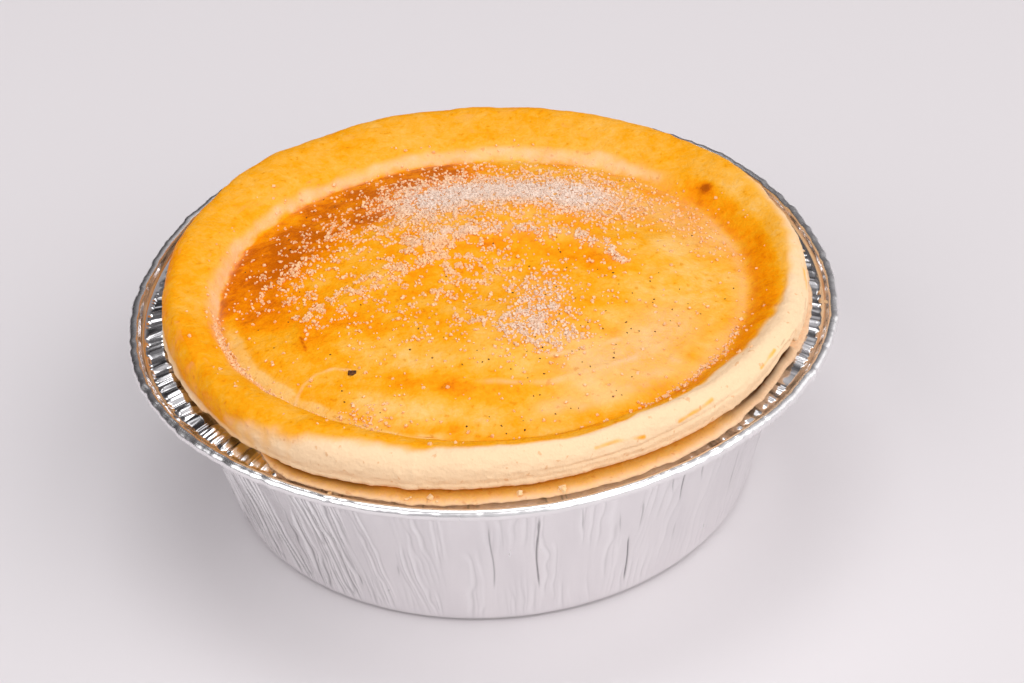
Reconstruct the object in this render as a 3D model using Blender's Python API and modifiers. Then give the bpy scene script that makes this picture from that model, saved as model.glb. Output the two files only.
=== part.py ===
"""An individual apple pie, baked and served in its pleated foil tin.

Units are metres and +Z is up. The origin is the centre of the tin's base, on the surface that the tin stands on,
and the front of the pie faces -Y. Two solids are made: foil_tin and pie. The pie is whole and uncut, so its pastry
case, filling and lid are one solid, with the lid's raised rim and its shallow dome as form.
"""

import math
import random

import bpy

MM = 0.001
SEED = 7

# Foil tin: heights are above the surface it stands on.
RIM_RADIUS = 60 * MM  # outside of the rolled edge
RIM_HEIGHT = 33.5 * MM  # middle of the rolled edge
BASE_RADIUS = 46.0 * MM  # where the base's rounded corner meets the wall
BASE_CORNER = 1.9 * MM
PANEL_RADIUS = 34 * MM  # the base is pressed up inside this
PANEL_RISE = 0.9 * MM
PANEL_STEP = 1.8 * MM  # width of the slope around the pressed panel
MOUTH_RADIUS = 52.6 * MM  # top of the wall, where the flange begins
FLANGE_HEIGHT = 32.5 * MM
FLANGE_TURN = 1.2 * MM  # the wall turns out into the flange over this height
FOIL = 0.4 * MM
BEAD_RADIUS = 0.95 * MM  # section of the rolled edge
BEAD_SIDES = 6
BEAD_START = math.radians(150)
BEAD_TURN = math.radians(-300)
PLEATS = 88
PLEAT_DEPTH = 0.34 * MM
FLANGE_WRINKLE = 0.13 * MM
RIM_CORNERS = 0.25 * MM  # handling has left the rim a little square
RIM_FLATS = 0.40 * MM  # and a little five-sided

# Pie: the lid's raised rim lies over the flange.
GAP = 0.35 * MM
LID_RADIUS = 54.4 * MM
LID_UNDERSIDE = 34.4 * MM
LID_CREST = 40.6 * MM
CREST_INNER_RADIUS = 48.0 * MM
GROOVE_RADIUS = 44.1 * MM
GROOVE_HEIGHT = 36.8 * MM
DOME_HEIGHT = 42.8 * MM
DOME_ROWS = 12
DOME_POWER = 2.4  # how flat the dome's middle is
LID_SEGMENTS = 92
LID_SHIFT = -0.3 * MM  # the lid sits a little towards the front
RECESS_SHIFT = -3.7 * MM  # its sunk middle sits further forward, so the rim is broadest at the back
RECESS_SQUASH = 0.06  # and is a little shorter from front to back
RECESS_MOUTH_SHIFT = 1.4 * MM  # the rim's inner edge lies a little to the right of the groove
BACK_DROP = 0.6 * MM  # the rim is lower at the back
BACK_SLOPE = 1.1 * MM  # where it also slopes down inwards
GAPE_ANGLE = math.radians(-28)  # front right, where the lid's rim lifts off the flange
GAPE_SPREAD = math.radians(20)
GAPE_LIFT = 1.1 * MM
# Where the rim swells or is pressed in: its angle, its spread, and how far it goes outwards and upwards there.
SWELLS = [
    (math.radians(128), math.radians(28), 0.3 * MM, 0.9 * MM),
    (math.radians(208), math.radians(13), -0.6 * MM, 0),
]

FOIL_COLOUR = (0.80, 0.79, 0.80, 1.0)
PASTRY_COLOUR = (0.83, 0.46, 0.12, 1.0)


def clear_scene():
    """Remove whatever the file opened with."""
    for obj in list(bpy.data.objects):
        bpy.data.objects.remove(obj)


def make_material(name, colour, roughness, metallic):
    material = bpy.data.materials.new(name)
    material.use_nodes = True
    shader = material.node_tree.nodes["Principled BSDF"]
    shader.inputs["Base Color"].default_value = colour
    shader.inputs["Roughness"].default_value = roughness
    shader.inputs["Metallic"].default_value = metallic
    return material


def smooth_step(low, high, value):
    """0 below low, 1 above high, and a smooth rise between."""
    share = min(1.0, max(0.0, (value - low) / (high - low)))
    return share * share * (3 - 2 * share)


def bump(x, centre, spread):
    """A bell curve, 1 at its centre."""
    return math.exp(-(((x - centre) / spread) ** 2))


def angle_between(a, b):
    """The signed turn from b to a, from -pi to pi."""
    return (a - b + math.pi) % (2 * math.pi) - math.pi


def out_of_round(angle, height):
    """How far the tin stands out of round here: nothing at the base, all of it at the rim."""
    corners = -RIM_CORNERS * math.cos(4 * angle)
    flats = -RIM_FLATS * math.sin(5 * angle)
    return (corners + flats) * smooth_step(0, RIM_HEIGHT, height)


def turned(name, profile, segments, collection):
    """Turn a profile of (radius, height) about Z, and give the result as one mesh object."""
    mesh = bpy.data.meshes.new(name + "_profile")
    edges = [(i, i + 1) for i in range(len(profile) - 1)]
    mesh.from_pydata([(radius, 0, height) for radius, height in profile], edges, [])
    guide = bpy.data.objects.new(name + "_profile", mesh)
    collection.objects.link(guide)
    screw = guide.modifiers.new("turn", "SCREW")
    screw.axis = "Z"
    screw.angle = 2 * math.pi
    screw.steps = segments
    screw.render_steps = segments
    screw.use_merge_vertices = True
    screw.merge_threshold = 0.01 * MM
    bpy.context.view_layer.update()
    graph = bpy.context.evaluated_depsgraph_get()
    made = bpy.data.objects.new(name, bpy.data.meshes.new_from_object(guide.evaluated_get(graph)))
    collection.objects.link(made)
    bpy.data.objects.remove(guide)
    return made


def reshape(obj, rule):
    """Move each point of a turned object by a rule of its radius, angle and height."""
    for vertex in obj.data.vertices:
        x, y, height = vertex.co
        vertex.co = rule(math.hypot(x, y), math.atan2(y, x), height)


def finish_piece(obj, material, sharp_angle):
    obj.data.materials.clear()
    obj.data.materials.append(material)
    obj.data.shade_smooth()
    obj.data.set_sharp_from_angle(angle=sharp_angle)


# Foil tin


def wall_radius(height):
    """Middle of the tapered foil wall at this height."""
    share = (height - BASE_CORNER) / (FLANGE_HEIGHT - BASE_CORNER)
    return BASE_RADIUS + (MOUTH_RADIUS - BASE_RADIUS) * share


def bead_arc():
    """The rolled edge: round from the flange's top, over, and back under the flange."""
    points = []
    for i in range(BEAD_SIDES + 1):
        angle = BEAD_START + BEAD_TURN * i / BEAD_SIDES
        radius = RIM_RADIUS - BEAD_RADIUS + BEAD_RADIUS * math.cos(angle)
        points.append((radius, RIM_HEIGHT + BEAD_RADIUS * math.sin(angle)))
    return points


def tin_profile():
    """The foil's closed section, from the middle of the floor inside, over the rim, to the middle underneath."""
    half = FOIL / 2
    flange_start = MOUTH_RADIUS + 1.0 * MM
    flange_end = RIM_RADIUS - 2 * BEAD_RADIUS - 0.3 * MM
    turn_height = FLANGE_HEIGHT - FLANGE_TURN
    foot_radius = BASE_RADIUS - BASE_CORNER
    inside = [
        (0, PANEL_RISE + FOIL),
        (PANEL_RADIUS - half, PANEL_RISE + FOIL),
        (PANEL_RADIUS + PANEL_STEP, FOIL),
        (foot_radius, FOIL),
        (wall_radius(BASE_CORNER) - half, BASE_CORNER),
        (wall_radius(turn_height) - half, turn_height),
        (flange_start, FLANGE_HEIGHT + half),
        (flange_end, FLANGE_HEIGHT + FOIL),
    ]
    outside = [
        (flange_start, FLANGE_HEIGHT - half),
        (wall_radius(turn_height) + half, turn_height),
        (wall_radius(BASE_CORNER) + half, BASE_CORNER),
        (BASE_RADIUS - 0.4 * BASE_CORNER, 0.2 * BASE_CORNER),
        (foot_radius, 0),
        (PANEL_RADIUS + PANEL_STEP, 0),
        (PANEL_RADIUS - half, PANEL_RISE),
        (0, PANEL_RISE),
    ]
    return inside + bead_arc() + outside


def make_tin(collection, material):
    """The tin: each pleat is one outward and one inward line of points, of uneven depth."""
    tin = turned("foil_tin", tin_profile(), 2 * PLEATS, collection)
    draw = random.Random(SEED)
    depth = [draw.uniform(0.45, 1.0) for _ in range(2 * PLEATS)]
    flange_middle = (MOUTH_RADIUS + RIM_RADIUS) / 2

    def crumple(radius, angle, height):
        line = round(angle / math.pi * PLEATS) % (2 * PLEATS)
        side = depth[line] if line % 2 else -depth[line]
        pleated = smooth_step(0.8 * MM, 4 * MM, height)
        pleated *= 1 - smooth_step(FLANGE_HEIGHT - 1.5 * MM, FLANGE_HEIGHT, height)
        wrinkled = bump(radius, flange_middle, 3 * MM) * smooth_step(31 * MM, FLANGE_HEIGHT - FOIL, height)
        moved = radius
        if radius > PANEL_RADIUS + PANEL_STEP:
            moved += out_of_round(angle, height) + side * PLEAT_DEPTH * pleated
        rise = side * FLANGE_WRINKLE * wrinkled
        return moved * math.cos(angle), moved * math.sin(angle), height + rise

    reshape(tin, crumple)
    finish_piece(tin, material, math.radians(50))
    return tin


# Pie


def dome_height(radius):
    """The lid inside its groove: low at the groove, rising fast and then flattening to the middle."""
    share = radius / GROOVE_RADIUS
    return GROOVE_HEIGHT + (DOME_HEIGHT - GROOVE_HEIGHT) * (1 - share**DOME_POWER)


def dome_profile():
    points = [(0, dome_height(0))]
    for i in range(1, DOME_ROWS):
        radius = GROOVE_RADIUS * math.sin(math.pi / 2 * i / DOME_ROWS)
        points.append((radius, dome_height(radius)))
    return points


def lid_rim_profile():
    """The lid's raised rim, from the groove up over the crest and down its side to the flange."""
    crest_width = LID_RADIUS - CREST_INNER_RADIUS
    side_height = LID_CREST - LID_UNDERSIDE
    return [
        (GROOVE_RADIUS, GROOVE_HEIGHT),
        (GROOVE_RADIUS + 0.9 * MM, GROOVE_HEIGHT + 0.5 * MM),
        (CREST_INNER_RADIUS - 1.0 * MM, LID_CREST - 1.5 * MM),
        (CREST_INNER_RADIUS, LID_CREST - 0.5 * MM),
        (CREST_INNER_RADIUS + 0.3 * crest_width, LID_CREST),
        (LID_RADIUS - 0.38 * crest_width, LID_CREST - 0.1 * MM),
        (LID_RADIUS - 0.14 * crest_width, LID_CREST - 0.9 * MM),
        (LID_RADIUS, LID_CREST - 0.4 * side_height),
        (LID_RADIUS - 0.1 * MM, LID_CREST - 0.75 * side_height),
        (LID_RADIUS - 0.7 * MM, LID_UNDERSIDE + 0.3 * MM),
        (LID_RADIUS - 1.7 * MM, LID_UNDERSIDE),
        (MOUTH_RADIUS - 2.2 * MM, LID_UNDERSIDE - 0.2 * MM),
    ]


def case_profile():
    """The pastry case, clear of the pleated foil, from under the lid to the middle of the floor."""
    skin = FOIL / 2 + GAP + PLEAT_DEPTH
    floor = PANEL_RISE + FOIL + GAP
    below_flange = FLANGE_HEIGHT - 2.4 * MM
    above_corner = BASE_CORNER + 2 * MM
    return [
        (wall_radius(below_flange) - skin - 0.2 * MM, below_flange),
        (wall_radius(above_corner) - skin, above_corner),
        (BASE_RADIUS - BASE_CORNER - skin, floor + 0.3 * MM),
        (PANEL_RADIUS, floor),
        (0, floor),
    ]


def dome_relief(x, y):
    """Rise and fall of the baked lid over its fruit: a brow across the back, a hollow before it, low lumps."""
    brow = 1.5 * MM * bump(y + 12 * x * x, 12 * MM, 8 * MM) * bump(x, 2 * MM, 27 * MM)
    hollow = -0.9 * MM * bump(y, -8 * MM, 9 * MM) * bump(x, -4 * MM, 22 * MM)
    lumps = 0.35 * MM * math.sin(x / (6.1 * MM) + 0.8) * math.sin(y / (5.3 * MM) - 0.4)
    return brow + hollow + lumps


def crest_wave(angle):
    """The lid's rim is thumbed and uneven, so its height wanders as it goes round."""
    slow = 0.35 * MM * math.sin(2 * angle + 0.6)
    quick = 0.22 * MM * math.sin(5 * angle) + 0.12 * MM * math.sin(11 * angle + 1)
    swell = sum(up * bump(angle_between(angle, at), 0, spread) for at, spread, _, up in SWELLS)
    return slow + quick + swell


def side_wave(angle):
    """The lid's outer edge wanders in and out a little."""
    slow = 0.5 * MM * math.cos(3 * angle + 0.5) + 0.35 * MM * math.cos(4 * angle + 2.5)
    swell = sum(out * bump(angle_between(angle, at), 0, spread) for at, spread, out, _ in SWELLS)
    return slow + swell


def make_pie(collection, material):
    """The pie: the rim's wave, the lid's relief and the lifted stretch fade out below the flange."""
    pie = turned("pie", dome_profile() + lid_rim_profile() + case_profile(), LID_SEGMENTS, collection)

    def shape(radius, angle, height):
        lid = smooth_step(FLANGE_HEIGHT, LID_UNDERSIDE, height)
        rim = smooth_step(GROOVE_RADIUS - 1 * MM, CREST_INNER_RADIUS, radius) * lid
        top = smooth_step(GROOVE_HEIGHT - 1 * MM, LID_CREST, height)
        edge = smooth_step(MOUTH_RADIUS - 2 * MM, LID_RADIUS - 1 * MM, radius) * lid
        moved = radius + side_wave(angle) * edge
        if lid == 0 and radius > PANEL_RADIUS + PANEL_STEP:
            moved += out_of_round(angle, height)
        x, y = moved * math.cos(angle), moved * math.sin(angle)
        recess = lid * (1 - smooth_step(CREST_INNER_RADIUS, LID_RADIUS - 1 * MM, radius))
        x += RECESS_MOUTH_SHIFT * rim * recess
        y += LID_SHIFT * lid + (RECESS_SHIFT - RECESS_SQUASH * y) * recess
        inside = 1 - smooth_step(GROOVE_RADIUS * 0.8, GROOVE_RADIUS, radius)
        gape = GAPE_LIFT * bump(angle_between(angle, GAPE_ANGLE), 0, GAPE_SPREAD) * edge
        backward = 0.5 + 0.5 * math.sin(angle)
        rim_rise = crest_wave(angle) - backward * (BACK_DROP + BACK_SLOPE * recess)
        rise = dome_relief(x, y) * inside * lid + rim_rise * top * rim + gape * (1 - 0.6 * top)
        return x, y, height + rise

    reshape(pie, shape)
    finish_piece(pie, material, math.radians(70))
    return pie


def main():
    clear_scene()
    collection = bpy.data.collections.new("apple_pie")
    bpy.context.scene.collection.children.link(collection)
    make_tin(collection, make_material("foil", FOIL_COLOUR, 0.3, 1.0))
    make_pie(collection, make_material("baked pastry", PASTRY_COLOUR, 0.55, 0.0))


main()
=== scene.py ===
import math
from itertools import product

import bpy
import numpy as np
from mathutils import Matrix, Vector


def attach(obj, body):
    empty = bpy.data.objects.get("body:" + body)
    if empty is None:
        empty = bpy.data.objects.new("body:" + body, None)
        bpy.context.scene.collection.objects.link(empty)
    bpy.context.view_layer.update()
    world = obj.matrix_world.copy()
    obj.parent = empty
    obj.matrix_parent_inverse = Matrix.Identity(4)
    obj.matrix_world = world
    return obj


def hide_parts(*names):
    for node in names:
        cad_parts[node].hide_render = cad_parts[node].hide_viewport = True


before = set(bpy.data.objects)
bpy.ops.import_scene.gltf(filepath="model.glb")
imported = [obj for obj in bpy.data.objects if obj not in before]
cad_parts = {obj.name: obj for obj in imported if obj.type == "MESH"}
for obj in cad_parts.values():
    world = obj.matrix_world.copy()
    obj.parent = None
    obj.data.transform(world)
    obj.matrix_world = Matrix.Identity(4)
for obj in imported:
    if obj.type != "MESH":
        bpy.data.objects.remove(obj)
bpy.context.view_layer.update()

# An apple pie in its crimped foil tin. Sizes are millimetres unless a note says otherwise, and turns are
# degrees, counted from +X towards +Y as seen from above, so the front of the pie is at -90.

mm = 0.001
draw = np.random.default_rng(11)


# Shaping helpers

def smoothStep(low, high, value):
    share = np.clip((value - low) / (high - low), 0, 1)
    return share * share * (3 - 2 * share)


def bell(value, centre, spread):
    return np.exp(-(((value - centre) / spread) ** 2))


def turnFrom(turn, centre):  # degrees from centre to turn, from -180 to 180
    return (turn - centre + 180) % 360 - 180


def around(turn, centre, spread):  # a bell over a turn
    return bell(turnFrom(turn, centre), 0, spread)


def betweenTurns(turn, start, stop, fade):  # 1 from start round to stop, counter-clockwise
    width = (stop - start) % 360
    along = np.abs(turnFrom(turn, start + width / 2))
    return 1 - smoothStep(width / 2 - fade, width / 2 + fade, along)


def lumps(x, y, z, size, seed):  # smooth noise from -1 to 1, with lumps of about this size
    place = [np.asarray(c, float) / size + seed * 13.7 for c in (x, y, z)]
    cells = [np.floor(c).astype(np.int64) for c in place]
    parts = [c - k for c, k in zip(place, cells)]
    parts = [p * p * (3 - 2 * p) for p in parts]
    total = 0.0
    for corner in product((0, 1), repeat=3):
        mixed = (cells[0] + corner[0]) * 73856093
        mixed = mixed ^ ((cells[1] + corner[1]) * 19349663) ^ ((cells[2] + corner[2]) * 83492791)
        mixed = (mixed ^ (mixed >> 13)) * 1274126177
        mixed = (mixed ^ (mixed >> 16)) & 0xFFFF
        weight = 1.0
        for side, part in zip(corner, parts):
            weight = weight * (part if side else 1 - part)
        total = total + weight * (mixed / 32767.5 - 1)
    return total


def strokeMask(x, y, path, width):  # a soft brush stroke along a path
    best = np.full(np.shape(x), 1e9)
    for (ax, ay), (bx, by) in zip(path[:-1], path[1:]):
        dx, dy = bx - ax, by - ay
        share = np.clip(((x - ax) * dx + (y - ay) * dy) / (dx * dx + dy * dy), 0, 1)
        best = np.minimum(best, np.hypot(x - ax - share * dx, y - ay - share * dy))
    return bell(best, 0, width)


def curveThrough(points, parts):  # a smooth curve through section points
    points = np.array(points, float)
    ends = np.vstack([2 * points[0] - points[1], points, 2 * points[-1] - points[-2]])
    out = []
    for i in range(len(points) - 1):
        a, b, c, d = ends[i:i + 4]
        for k in range(parts):
            t = k / parts
            out.append(0.5 * (2 * b + (c - a) * t + (2 * a - 5 * b + 4 * c - d) * t * t
                              + (3 * b - a - 3 * c + d) * t ** 3))
    out.append(points[-1])
    return np.array(out)


def straightThrough(points, counts):  # straight runs, each cut into its own count of rows
    out = []
    for (a, b), count in zip(zip(points[:-1], points[1:]), counts):
        for k in range(count):
            out.append([a[0] + (b[0] - a[0]) * k / count, a[1] + (b[1] - a[1]) * k / count])
    out.append(list(points[-1]))
    return np.array(out)


def sectionNormals(section):  # outward, for a section that runs from the top middle down the outside
    run = np.gradient(section, axis=0)
    normals = np.stack([-run[:, 1], run[:, 0]], axis=1)
    return normals / np.maximum(np.linalg.norm(normals, axis=1, keepdims=True), 1e-9)


def allRound(section, count):  # the section's radius and height at every turn, with the turn itself
    turn = np.broadcast_to(np.arange(count) * 360 / count, (len(section), count)).copy()
    radius = np.broadcast_to(section[:, :1], turn.shape).copy()
    height = np.broadcast_to(section[:, 1:], turn.shape).copy()
    return turn, radius, height


def putInScene(name, data):
    thing = bpy.data.objects.new(name, data)
    bpy.context.scene.collection.objects.link(thing)
    return thing


def closedTurning(name, x, y, z, masks):
    # rows of points round the axis, closed at both ends on a middle point
    rows, count = x.shape
    points = np.stack([x, y, z], axis=-1).reshape(-1, 3)
    top = [x[0].mean(), y[0].mean(), z[0].mean()]
    bottom = [x[-1].mean(), y[-1].mean(), z[-1].mean()]
    points = np.vstack([points, [top], [bottom]]) * mm
    ring = np.arange(count)
    after = (ring + 1) % count
    start = (np.arange(rows - 1) * count)[:, None]
    quads = np.stack([start + ring, start + count + ring, start + count + after, start + after], axis=-1)
    faces = quads.reshape(-1, 4).tolist()
    last = (rows - 1) * count
    faces += np.stack([ring, after, np.full(count, rows * count)], axis=1).tolist()
    faces += np.stack([last + after, last + ring, np.full(count, rows * count + 1)], axis=1).tolist()
    mesh = bpy.data.meshes.new(name)
    mesh.from_pydata(points.tolist(), [], faces)
    for maskName, values in masks.items():
        flat = np.asarray(values, float).reshape(-1)
        flat = np.concatenate([flat, [np.mean(values[0]), np.mean(values[-1])]])
        layer = mesh.attributes.new(maskName, "FLOAT", "POINT")
        layer.data.foreach_set("value", flat.astype(np.float32))
    mesh.polygons.foreach_set("use_smooth", [True] * len(mesh.polygons))
    mesh.update()
    return putInScene(name, mesh)


# Foil tin

tinShape = {
    "around": 2400,
    "rim": 60.0, "rimHeight": 33.5, "bead": 0.95,
    "mouth": 52.6, "flange": 32.5, "base": 46.0, "baseCorner": 1.9,
    "panel": 34.0, "panelRise": 0.9, "panelStep": 1.8,
    "skin": 0.14,  # half the foil, a little over true so that it closes
    "wallMiddle": 50, "flangeMiddle": 56, "beadRing": 59,  # radii that the noise on each part is laid out on
    "corners": 0.25, "flats": 0.40,  # how far the tin is out of round
    "foldLean": 0.30,  # degrees of turn for each millimetre of height, at the left and right
    "bigFolds": 176, "smallFolds": 310,  # how many there are round the wall
    "bigFold": 0.32, "smallFold": 0.13, "facet": 0.12, "panelWave": 0.14, "foldShade": 0.36,
    "crinkle": 0.26, "fineCrinkle": 0.12, "pleatShade": 0.6, "blockShade": 0.85, "beadDent": 0.22,
    # turn, lowest and highest point, and depth of the creases that were pressed shut
    "creases": [(-53.0, 18, 25, 1.0), (-62.4, 16, 22, 0.5), (-64.5, 4, 14.5, 1.0), (-82.9, 8, 25, 0.9),
                (-91.4, 9, 24, 0.6), (-74.7, 20, 26, 0.4), (-67.0, 17, 21, 0.4), (-55.9, 21, 25, 0.5),
                (-48.1, 20, 24, 0.5), (-110.0, 11, 13, 0.8), (-119.1, 5.5, 8.5, 0.8), (-53.5, 9, 13, 0.3),
                (-36.0, 10, 19, 0.5), (-20.0, 15, 26, 0.6), (3.0, 6, 17, 0.5), (31.0, 12, 24, 0.8),
                (58.0, 5, 12, 0.6), (84.0, 14, 25, 0.8), (113.0, 8, 18, 0.6), (139.0, 16, 26, 0.7),
                (163.0, 5, 15, 0.5), (-161.0, 13, 24, 0.6), (-140.0, 7, 14, 0.5)],
}


def tinSection():  # from the middle underneath, up the outside, round the bead and down the inside
    t = tinShape
    skin, corner, mouth, flange, base = t["skin"], t["baseCorner"], t["mouth"], t["flange"], t["base"]
    foot = base - corner
    step = t["panel"] + t["panelStep"]
    under = [(0.5, t["panelRise"]), (t["panel"] - 0.2, t["panelRise"]), (step, 0), (foot, 0),
             (base - 0.75, 0.38), (base - 0.25, 1.0), (base + skin, corner), (mouth - 0.1, flange - 1.2),
             (mouth + 0.2, flange - 0.4), (mouth + 0.7, flange + 0.15), (54.4, flange + 0.38),
             (57.1, flange - 0.08), (57.7, flange - 0.02)]
    outside = straightThrough(under, [5, 3, 3, 2, 2, 2, 56, 3, 3, 5, 9, 3])
    turn = np.radians(np.linspace(-140, 165, 24))
    beadMiddle = t["rim"] - t["bead"]
    bead = np.stack([beadMiddle + t["bead"] * np.cos(turn),
                     t["rimHeight"] + t["bead"] * np.sin(turn)], axis=1)
    over = [(57.93, flange + 0.84), (57.5, flange + 0.48), (57.0, flange + 0.27), (56.6, flange + 0.22),
            (54.3, flange + 0.68), (mouth + 0.8, flange + 0.62), (mouth + 0.2, flange + 0.25),
            (mouth - 0.15, flange - 0.4), (mouth - 0.4, flange - 1.2), (base - skin, corner + 0.1),
            (foot - 0.1, skin * 2), (step, skin * 2), (t["panel"] - 0.2, t["panelRise"] + skin * 2),
            (0.5, t["panelRise"] + skin * 2)]
    inside = straightThrough(over, [3, 3, 2, 12, 4, 3, 3, 3, 16, 3, 2, 2, 3])
    return np.vstack([outside, bead, inside])


def wanderingLines(leant, x, y, height, count, seed):
    # how far each point is from the nearest of many long lines, from -0.5 to 0.5
    phase = leant * count / 360 + 0.9 * lumps(x, y, height * 0.3, 4.2, seed)
    phase = phase + 0.25 * lumps(x, y, height * 0.6, 1.6, seed + 30)
    return (phase % 1) - 0.5


def wallFolds(turn, height):
    # long pinched lines of many depths, each fading in and out, and the pressed creases. Besides the shape,
    # it gives painted shade on the fold flanks and in the creases, and a painted highlight along the fold
    # tops
    t = tinShape
    leant = turn + t["foldLean"] * np.cos(np.radians(turn)) * (16 - height)
    angle = np.radians(leant)
    x, y = t["wallMiddle"] * np.cos(angle), t["wallMiddle"] * np.sin(angle)
    strong = 0.3 + 0.3 * betweenTurns(turn, 10, 300, 15) + 0.4 * betweenTurns(turn, 20, 252, 20)
    kept = smoothStep(-0.40, 0.20, lumps(x, y, height * 0.25, 2.6, 4)) * strong
    shown = smoothStep(-0.15, 0.45, lumps(x, y, height * 0.3, 2.2, 6)) * strong
    big = wanderingLines(leant, x, y, height, t["bigFolds"], 3)
    small = wanderingLines(leant, x, y, height, t["smallFolds"], 5)
    ridge = bell(big, 0, 0.18) * kept
    finer = bell(small, 0, 0.2) * shown
    push = t["bigFold"] * ridge + t["smallFold"] * finer + t["facet"] * lumps(x, y, height * 0.15, 3.0, 2)
    # painted shade down one flank of each fold, stronger at the left to paint the darker reflection of the
    # room there
    dark = t["foldShade"] * np.maximum(bell(big, 0.33, 0.10) * kept, 0.6 * bell(small, 0.36, 0.12) * shown)
    dark = dark * (0.7 + 1.1 * betweenTurns(turn, 180, 242, 12))
    reach = np.radians(1) * 49.5  # how far a degree of turn reaches along the wall
    for at, low, high, depth in t["creases"]:
        line = at + 0.2 * np.sin(height / 2.7 + at) / reach
        off = turnFrom(turn, line) * reach
        keep = smoothStep(low - 1, low + 2, height) * (1 - smoothStep(high - 2, high + 1, height)) * depth
        push -= 0.30 * bell(off, 0, 0.20) * keep
        # painted shade in each pressed crease
        dark = np.maximum(dark, bell(off, 0, 0.12) * keep)
    # the last value is the painted highlight along the fold tops
    return push, dark, np.maximum(ridge, 0.6 * finer)


def makeTin():
    t = tinShape
    turn, radius, height = allRound(tinSection(), t["around"])
    angle = np.radians(turn)
    px, py = np.cos(angle), np.sin(angle)

    wall = (radius < t["mouth"] + 1.5) & (height > 0.2) & (radius > t["base"] - 1)
    onWall = wall * smoothStep(0.3, 3.5, height)
    onWall = onWall * (1 - smoothStep(t["flange"] - 1.6, t["flange"] + 0.2, height))
    push, dark, ridge = wallFolds(turn, height)
    waves = t["panelWave"] * lumps(px * t["wallMiddle"], py * t["wallMiddle"], height * 0.35, 6.5, 7)

    # the flange is crinkled across, with a smooth trough before the rolled edge, which has small dents
    flange = smoothStep(t["mouth"] - 0.2, t["mouth"] + 1.2, radius) * (height > t["flange"] - 1.3)
    flat = 1 - smoothStep(56.4, 57.1, radius)
    fx, fy = px * t["flangeMiddle"], py * t["flangeMiddle"]
    crinkle = t["crinkle"] * lumps(fx, fy, radius * 0.10, 1.15, 8)
    crinkle += t["crinkle"] * (bell(lumps(fx, fy, radius * 0.12, 1.5, 9), 0, 0.22) - 0.25)
    crinkle += t["fineCrinkle"] * lumps(fx, fy, radius * 0.14, 0.7, 10)
    rough = 0.25 + 0.75 * np.maximum(smoothStep(0.35, 0.85, np.abs(px)), smoothStep(-0.3, 0.3, py))
    crinkle *= 1.4 * rough
    # painted shade along the flange's pleats
    pleatShading = bell(lumps(fx, fy, radius * 0.10, 1.0, 11), 0, 0.10)
    pleatShading *= t["pleatShade"] * smoothStep(0.0, 0.4, lumps(fx, fy, radius * 0.5, 2.4, 15))
    # painted reflection: dark blocks on the flange at the left and right sides, for the dark surroundings
    # mirrored there
    darkReflectionBlocks = smoothStep(-0.05, 0.2, lumps(fx, fy, radius * 0.15, 1.3, 17))
    pleatShading = np.maximum(pleatShading, t["blockShade"] * darkReflectionBlocks * smoothStep(0.45, 0.8, np.abs(px)))
    bead = smoothStep(57.8, 58.6, radius)
    bx, by = px * t["beadRing"], py * t["beadRing"]
    dent = lumps(bx, by, height * 0.3, 1.6, 13) + 0.3 * lumps(bx, by, height * 0.3, 0.9, 16)
    dent *= 0.45 + 0.55 * smoothStep(-0.4, 0.4, np.abs(px) - 0.35)
    slow = 0.10 * lumps(bx, by, 0, 6, 12)

    outOfRound = -t["corners"] * np.cos(4 * angle) - t["flats"] * np.sin(5 * angle)
    outOfRound *= smoothStep(0, t["rimHeight"], height) * (radius > t["panel"] + t["panelStep"])
    dented = t["beadDent"] * dent
    moved = radius + outOfRound + onWall * (push + waves - 0.2) + bead * (slow + dented - 0.12)
    rise = flange * flat * crinkle + bead * (0.12 * lumps(bx, by, 0, 9, 14) + 0.4 * dented)
    # the crease mask carries all the painted shade and dark painted reflection of the wall and flange; the
    # ridge mask carries the painted highlight on the fold tops
    masks = {"crease": np.maximum(dark * onWall, pleatShading * flange * flat),
             "smooth": flange * (1 - 1.2 * bead) * rough, "ridge": ridge * onWall}
    return closedTurning("foilTinSkin", (moved * px)[::-1], (moved * py)[::-1], (height + rise)[::-1],
                         {name: values[::-1] for name, values in masks.items()})


# Pie

pieShape = {
    "around": 1080, "domeRows": 112,
    "groove": 44.1, "grooveHeight": 36.8, "domeHeight": 42.8, "domePower": 2.4,
    "crestInner": 48.0, "crest": 40.6, "outside": 54.4,
    "shift": -0.3, "recessShift": -3.7, "recessSquash": 0.06, "mouthShift": 1.4,
    "backDrop": 0.6, "backSlope": 1.1,
    "gapeTurn": -28, "gapeSpread": 20, "gapeLift": 1.1, "slitTurn": -25, "slitJut": 0.2,
    # turn, width, and how far the rim swells outwards and upwards there
    "swells": [(128, 28, 0.3, 0.9), (208, 13, -0.6, 0)],
    "underSugar": 0.68,  # the crust lies this much under the solid's lid, to leave room for the sugar
    # turn, depth and spread of the dents that fingers left in the rim
    "dents": [(-152, 0.30, 5), (-128, 0.22, 4), (-101, 0.24, 6), (-74, 0.20, 5), (-47, 0.26, 5),
              (-12, 0.25, 6), (14, 0.28, 5), (41, 0.24, 6), (67, 0.25, 5), (96, 0.2, 6), (121, 0.2, 5),
              (149, 0.2, 6), (175, 0.25, 5)],
    "burntSpot": (40.4, 20.6, 1.1),  # x, y and size of the burnt spot on the rim
    # radius and height, from the groove over the rim to its underside, and then down the case
    "rimLine": [(44.1, 36.8), (44.75, 37.0), (45.7, 37.9), (46.8, 39.1), (48.0, 40.05), (49.9, 40.58),
                (51.8, 40.52), (53.1, 39.95), (53.98, 38.9), (54.36, 37.7), (54.38, 36.6), (54.25, 35.7),
                (54.32, 35.15), (54.1, 34.62), (53.3, 34.38), (52.75, 34.05), (52.45, 33.3), (51.6, 32.1),
                (51.05, 30.8)],
    "caseLine": [(50.98, 30.1), (45.5, 3.9), (43.2, 2.0), (34, 1.68), (0.5, 1.68)],
}
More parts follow.
